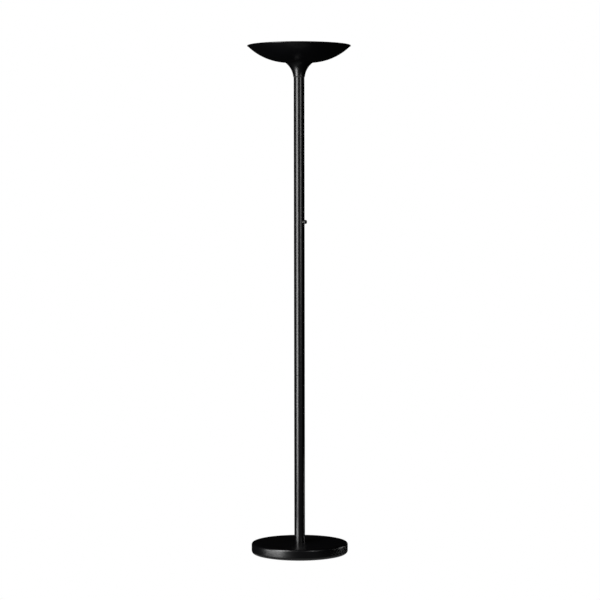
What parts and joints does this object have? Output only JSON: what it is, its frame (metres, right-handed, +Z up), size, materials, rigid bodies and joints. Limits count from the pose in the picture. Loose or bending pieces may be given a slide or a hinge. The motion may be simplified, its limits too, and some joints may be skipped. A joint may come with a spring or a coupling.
{
  "type": "torchiere floor lamp",
  "caption": "Tall black uplight floor lamp: shallow open bowl on a slim round pole with a side dimmer knob and a weighted disc base.",
  "frame": {"origin": "middle of the base on the floor", "axes": "+Z up along the pole, +X towards the dimmer knob, -X towards the cord inlet"},
  "size_m": [0.3649, 0.365, 1.8],
  "materials": {
    "black_enamel": "satin",
    "bowl_enamel": "satin",
    "black_oxide_steel": "matte",
    "zinc_steel": "satin",
    "nickel_brass": "satin",
    "brass": "satin",
    "cast_iron": "matte",
    "black_rubber": "matte",
    "pad_foam": "matte",
    "knob_plastic": "satin",
    "white_plastic": "satin",
    "black_plastic": "matte",
    "aluminium": "satin",
    "board_green": "satin",
    "board_white": "satin",
    "thermal_foil": "matte",
    "led_phosphor": "satin",
    "opal_acrylic": "satin",
    "spring_steel": "satin",
    "brown_pvc": "satin",
    "blue_pvc": "satin",
    "green_yellow_pvc": "satin",
    "red_pvc": "satin",
    "black_pvc": "satin"
  },
  "bodies": {
    "lamp": {"base_pad": "pad_foam", "base_plate": "zinc_steel", "base_plate_screws": "zinc_steel", "base_weight": "cast_iron", "base_cover": "black_enamel", "cord_grommet": "black_rubber", "terminal_block": "white_plastic", "terminal_inserts": "brass", "earth_screw": "brass", "led_driver": "white_plastic", "driver_screws": "zinc_steel", "foot_bolt": "zinc_steel", "foot_washer": "zinc_steel", "pole_foot_plug": "zinc_steel", "lower_pole": "black_enamel", "joint_socket": "zinc_steel", "joint_stud": "black_oxide_steel", "upper_pole": "black_enamel", "pole_top_insert": "zinc_steel", "dimmer_housing": "black_plastic", "dimmer_back_cover": "black_plastic", "dimmer_board": "board_green", "dimmer_bushing": "nickel_brass", "dimmer_washer": "nickel_brass", "dimmer_ring_nut": "nickel_brass", "switch_spring": "spring_steel", "live_wire": "brown_pvc", "neutral_wire": "blue_pvc", "earth_wire": "green_yellow_pvc", "feed_lead_plus": "red_pvc", "feed_lead_minus": "black_pvc", "lamp_lead_plus": "red_pvc", "lamp_lead_minus": "black_pvc", "head_nipple": "brass", "head_washer": "zinc_steel", "head_nut": "brass", "neck_seal": "black_rubber", "neck": "black_enamel", "bowl": "bowl_enamel", "bowl_screws": "zinc_steel", "sink_pillars": "zinc_steel", "heat_sink": "aluminium", "thermal_pad": "thermal_foil", "led_board": "board_white", "led_packages": "led_phosphor", "board_plug": "white_plastic", "board_screws": "zinc_steel", "diffuser_clips": "spring_steel", "diffuser": "opal_acrylic"},
    "switch_carriage": {"switch_plunger": "white_plastic"},
    "knob": {"dimmer_shaft": "nickel_brass", "dimmer_knob": "knob_plastic"}
  },
  "joints": [
    {"name": "dimmer_push", "type": "slide", "parent": "lamp", "child": "switch_carriage", "axis": [-1, 0, 0], "range_m": [0, 0.0008], "stiffness_N_per_m": 1200, "springref_m": -0.0012, "deforming": ["switch_spring"]},
    {"name": "dimmer_turn", "type": "hinge", "parent": "switch_carriage", "child": "knob", "pos_m": [0.0246, 0, 1.179], "axis": [1, 0, 0], "range_deg": [0, 300]}
  ]
}
